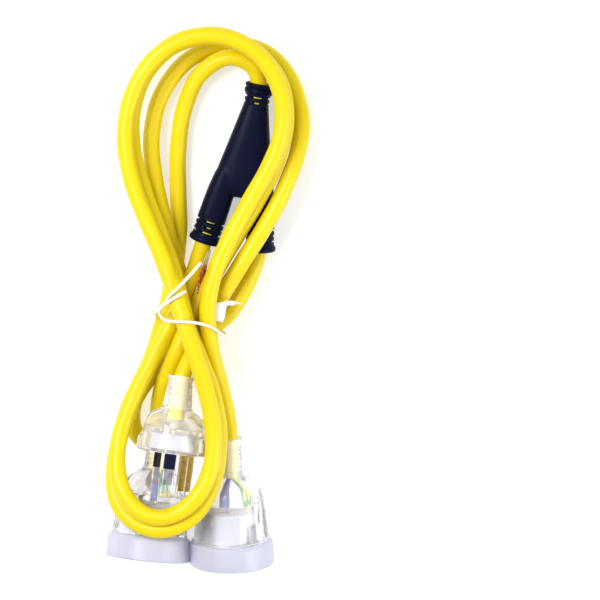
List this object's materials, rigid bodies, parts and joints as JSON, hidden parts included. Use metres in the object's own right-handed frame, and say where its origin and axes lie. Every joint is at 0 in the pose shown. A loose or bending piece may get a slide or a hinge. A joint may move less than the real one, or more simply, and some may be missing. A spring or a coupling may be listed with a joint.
{
  "type": "extension cord",
  "caption": "Yellow Y-splitter extension lead with clear plug and sockets, wound in a figure of eight and held by a white wire tie.",
  "frame": {"origin": "on the surface that the bundle lies on, under the centre of the box round the plug, sockets and Y-piece (the flexes left out)", "axes": "+Z up from the surface; +Y along the bundle, from the sockets' faces to the tops of the loops; +X to the right seen from above with +Y up"},
  "size_m": [0.1114, 0.2945, 0.0586],
  "materials": {
    "yellow_pvc": "smooth, satin-gloss flexible PVC sheath",
    "clear_pvc": "clear flexible PVC moulding",
    "frosted_plastic": "frosted pale ring",
    "navy_pvc": "satin navy-black flexible PVC",
    "navy_plastic": "smooth navy sleeve",
    "ivory_plastic": "moulded plastic",
    "nickel_pin": "nickel-plated brass, brushed along its length",
    "brass_pin": "folded brass strip",
    "brass_contact": "stamped brass",
    "brown_core": "smooth core insulation",
    "blue_core": "smooth core insulation",
    "green_core": "smooth core insulation, green with a yellow stripe",
    "white_tie": "thin plastic cover on a soft wire",
    "paper": "thin white paper",
    "label_strip": "thin white film with a plain band"
  },
  "bodies": {
    "root": {"plug_moulding": "clear_pvc", "plug_carrier": "ivory_plastic", "plug_pin_live": "nickel_pin", "plug_pin_neutral": "nickel_pin", "plug_pin_earth": "brass_pin", "pin_sleeve_live": "navy_plastic", "pin_sleeve_neutral": "navy_plastic", "plug_core_live": "brown_core", "plug_core_neutral": "blue_core", "plug_core_earth": "green_core", "plug_crimps": "brass_contact", "socket_a_moulding": "clear_pvc", "socket_a_face_ring": "frosted_plastic", "socket_a_carrier": "ivory_plastic", "socket_a_contact_live": "brass_contact", "socket_a_contact_neutral": "brass_contact", "socket_a_contact_earth": "brass_contact", "socket_a_core_live": "brown_core", "socket_a_core_neutral": "blue_core", "socket_a_core_earth": "green_core", "socket_b_moulding": "clear_pvc", "socket_b_face_ring": "frosted_plastic", "socket_b_carrier": "ivory_plastic", "socket_b_contact_live": "brass_contact", "socket_b_contact_neutral": "brass_contact", "socket_b_contact_earth": "brass_contact", "socket_b_core_live": "brown_core", "socket_b_core_neutral": "blue_core", "socket_b_core_earth": "green_core", "y_moulding": "navy_pvc", "y_premould": "ivory_plastic", "y_core_live": "brown_core", "y_core_neutral": "blue_core", "y_core_earth": "green_core", "y_splice_live": "brass_contact", "y_splice_neutral": "brass_contact", "y_splice_earth": "brass_contact", "main_flex": "yellow_pvc", "leg_flex_a": "yellow_pvc", "leg_flex_b": "yellow_pvc", "wire_tie": "white_tie", "paper_tag": "paper", "flag_label": "label_strip"}
  },
  "joints": []
}
